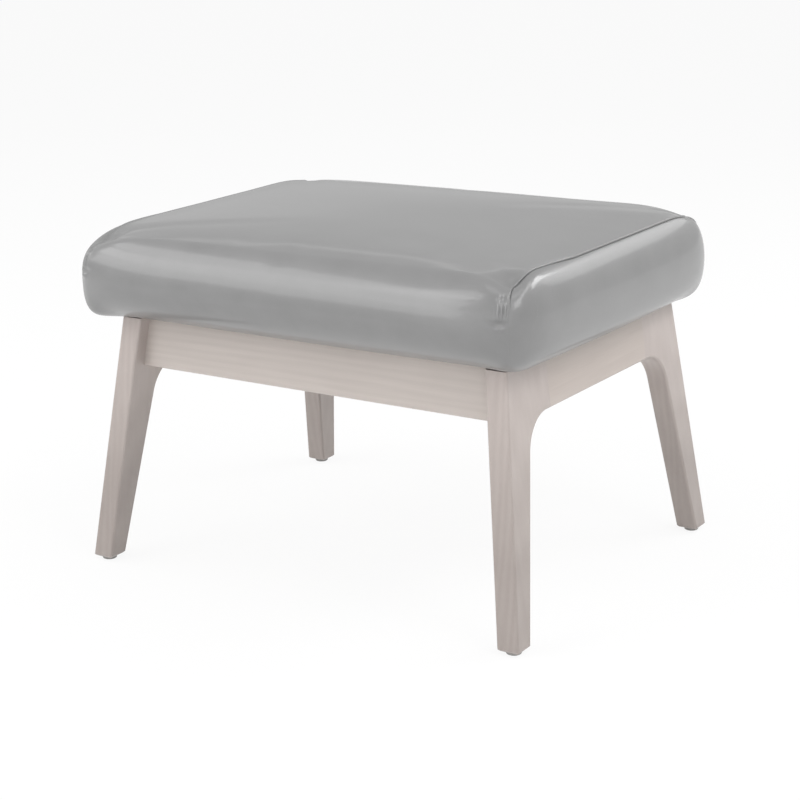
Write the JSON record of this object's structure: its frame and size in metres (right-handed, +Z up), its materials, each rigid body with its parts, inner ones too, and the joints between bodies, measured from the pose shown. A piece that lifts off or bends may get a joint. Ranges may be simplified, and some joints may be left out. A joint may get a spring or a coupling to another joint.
{
  "type": "ottoman",
  "caption": "Low rectangular ottoman: a padded leather cushion on a wooden frame with four tapered, splayed legs, side rails and set-back aprons.",
  "frame": {"origin": "On the floor, at the middle of the bounding box of the whole ottoman.", "axes": "+X runs along the longer side to the right as seen from the front, -Y is the front, +Z is up."},
  "size_m": [0.5716, 0.4648, 0.381],
  "materials": {
    "frame_wood": "Solid wood, stained a pale grey-beige, with a semi-gloss clear lacquer over a fine straight grain.",
    "block_wood": "Bare hardwood of the hidden blocks and dowels, not stained or lacquered.",
    "board_wood": "Raw plywood with cross-banded edges.",
    "glide_plastic": "Grey nylon, slightly worn underneath.",
    "steel": "Zinc-plated steel.",
    "dust_cloth": "Black non-woven dust cloth.",
    "foam": "Cream polyurethane foam.",
    "wadding": "White polyester fibre wadding.",
    "leather": "Smooth mid-grey upholstery leather with a soft gloss and fine creases at the corners."
  },
  "bodies": {
    "root": {"leg_front_left": "frame_wood", "leg_front_right": "frame_wood", "leg_back_left": "frame_wood", "leg_back_right": "frame_wood", "side_rail_left": "frame_wood", "side_rail_right": "frame_wood", "apron_front": "frame_wood", "apron_back": "frame_wood", "corner_block_front_left": "block_wood", "corner_block_front_right": "block_wood", "corner_block_back_left": "block_wood", "corner_block_back_right": "block_wood", "glide_front_left": "glide_plastic", "glide_front_right": "glide_plastic", "glide_back_left": "glide_plastic", "glide_back_right": "glide_plastic", "glide_nails": "steel", "rail_dowels": "block_wood", "apron_dowels": "block_wood", "block_screws": "steel", "seat_screws": "steel", "seat_board": "board_wood", "dust_cover": "dust_cloth", "foam_core": "foam", "fibre_wrap": "wadding", "cover_main": "leather", "cover_end_left": "leather", "cover_end_right": "leather"}
  },
  "joints": []
}
